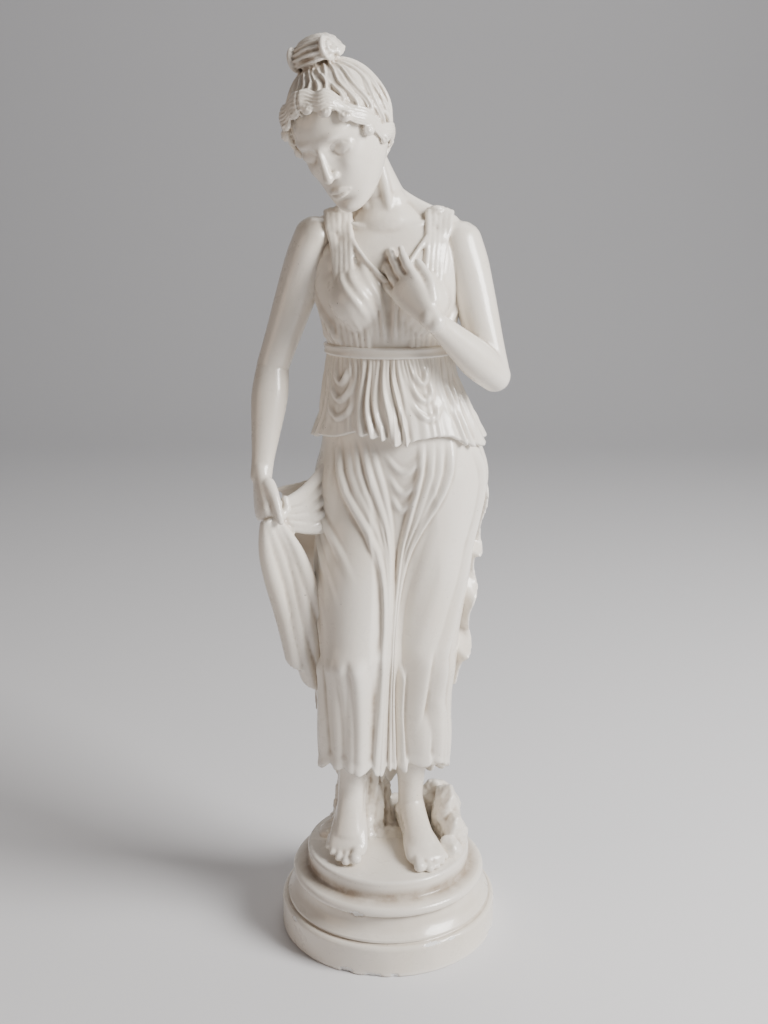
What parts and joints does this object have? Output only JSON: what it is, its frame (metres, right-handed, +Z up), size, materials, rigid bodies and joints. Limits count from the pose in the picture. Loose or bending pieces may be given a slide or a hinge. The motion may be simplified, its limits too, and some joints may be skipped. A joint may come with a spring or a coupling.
{
  "type": "plaster dancer statue",
  "caption": "Painted plaster figure of a barefoot dancer in a belted classical dress, cast in one with a round stepped plinth.",
  "frame": {"origin": "middle of the plinth's round underside, on the surface it stands on", "axes": "+Z up through the plinth's axis, -Y towards the viewer of the figure's front, +X to that viewer's right"},
  "size_m": [0.2198, 0.2, 0.7946],
  "materials": {
    "painted_plaster": "cream gloss paint over cast plaster, chipped to bare white at a few edges"
  },
  "bodies": {
    "root": {"dancer_statue": "painted_plaster"}
  },
  "joints": []
}
